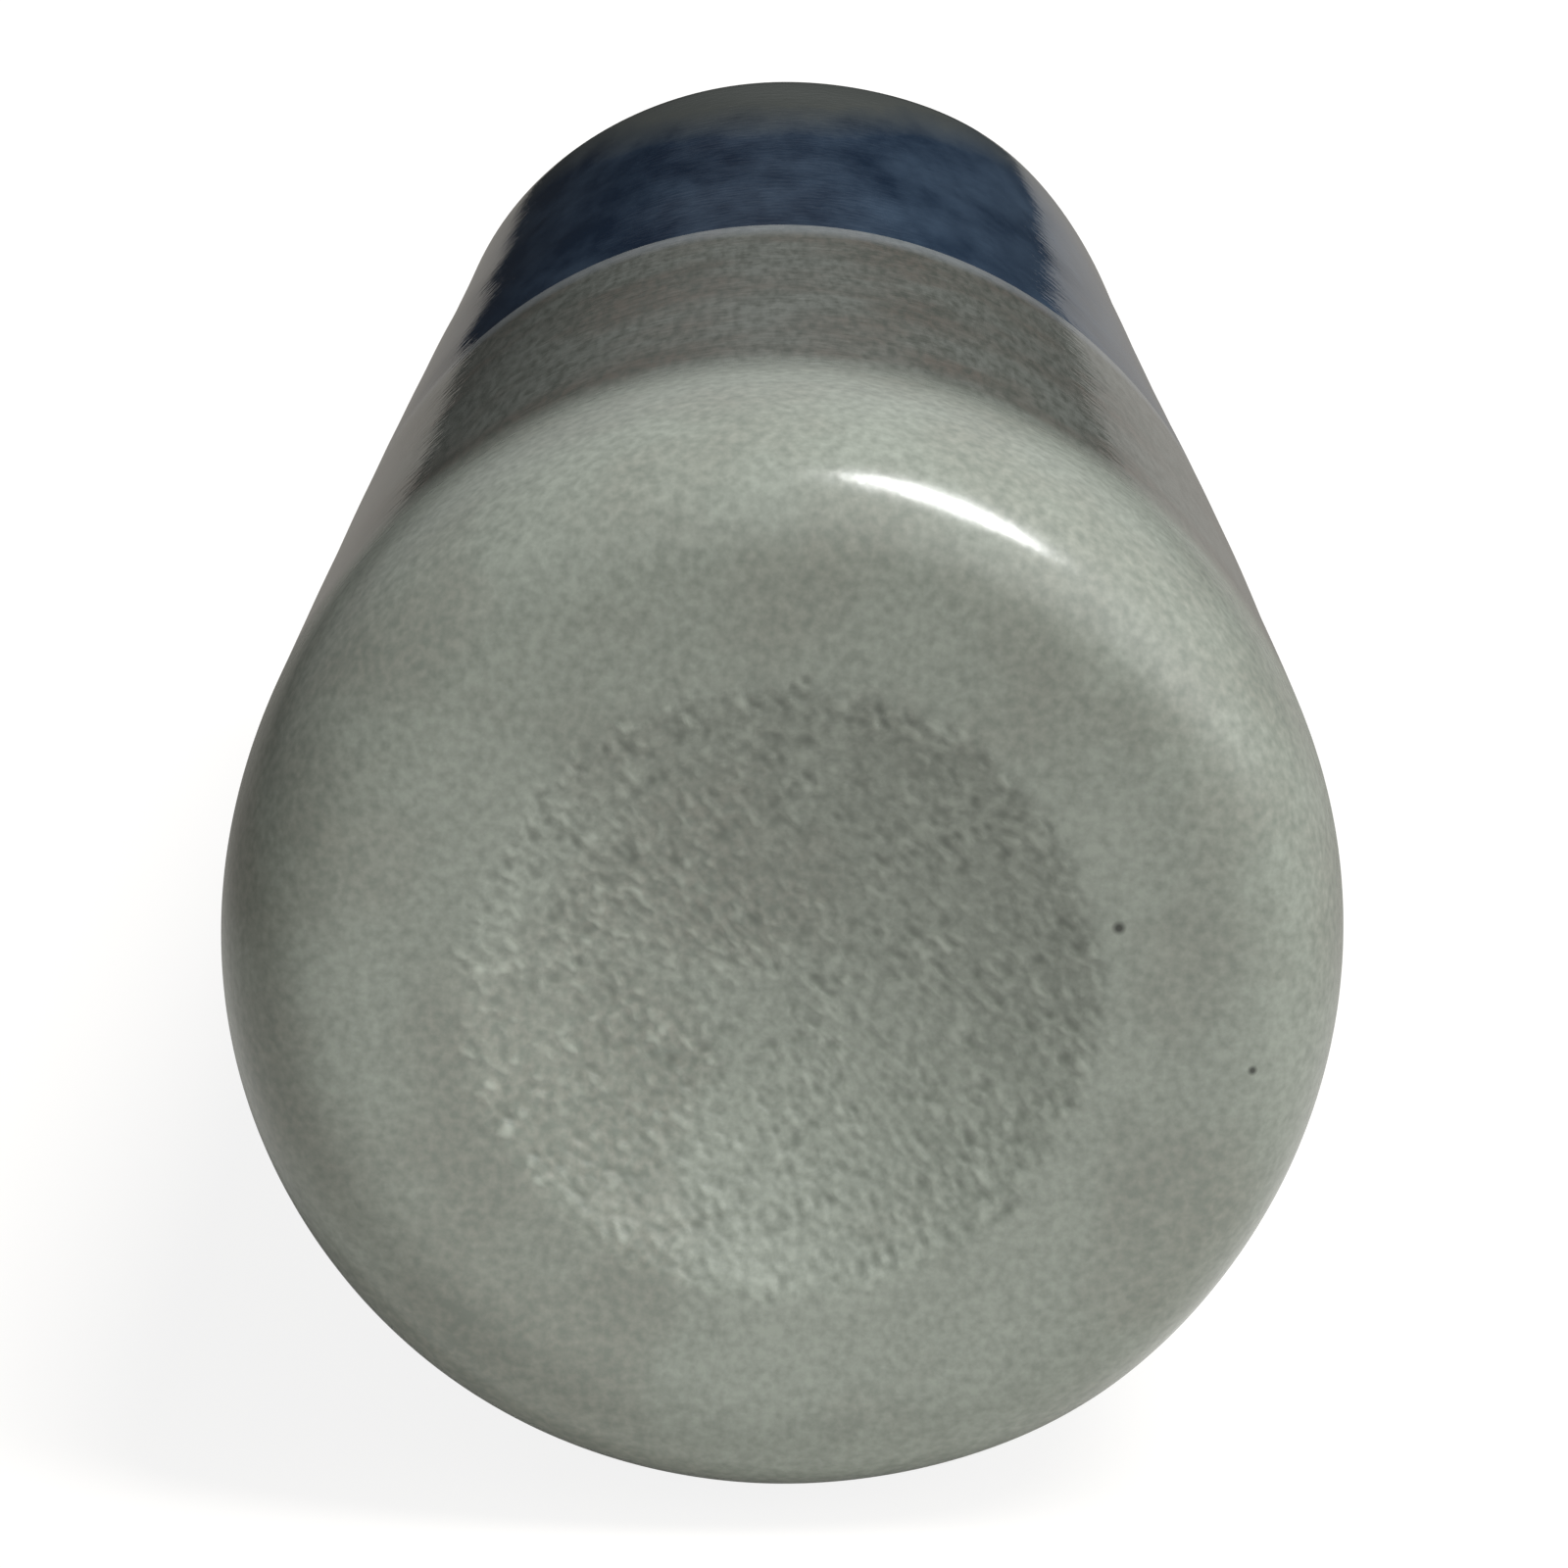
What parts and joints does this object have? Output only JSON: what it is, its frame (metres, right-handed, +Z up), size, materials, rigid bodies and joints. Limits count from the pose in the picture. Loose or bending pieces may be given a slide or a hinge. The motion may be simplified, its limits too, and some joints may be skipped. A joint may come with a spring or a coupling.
{
  "type": "guitar slide",
  "caption": "Closed-end ceramic guitar slide: a glazed clay tube with a bare finger bore, a rounded dished end and a brushed blue band.",
  "frame": {"origin": "on the floor under the middle of the slide, which lies on its side", "axes": "+Y along the slide's axis from the closed end to the mouth, +Z up, +X across"},
  "size_m": [0.026, 0.07, 0.026],
  "materials": {
    "buff_clay": "bare fired clay, matt and slightly gritty",
    "dried_slip": "fired slip, matt",
    "pale_glaze": "gloss glaze, pale green grey",
    "cobalt_glaze": "gloss glaze over brushed cobalt blue"
  },
  "bodies": {
    "root": {"clay_tube": "buff_clay", "end_disc": "buff_clay", "luting_slip": "dried_slip", "end_glaze": "pale_glaze", "cobalt_band": "cobalt_glaze", "mouth_glaze": "pale_glaze"}
  },
  "joints": []
}
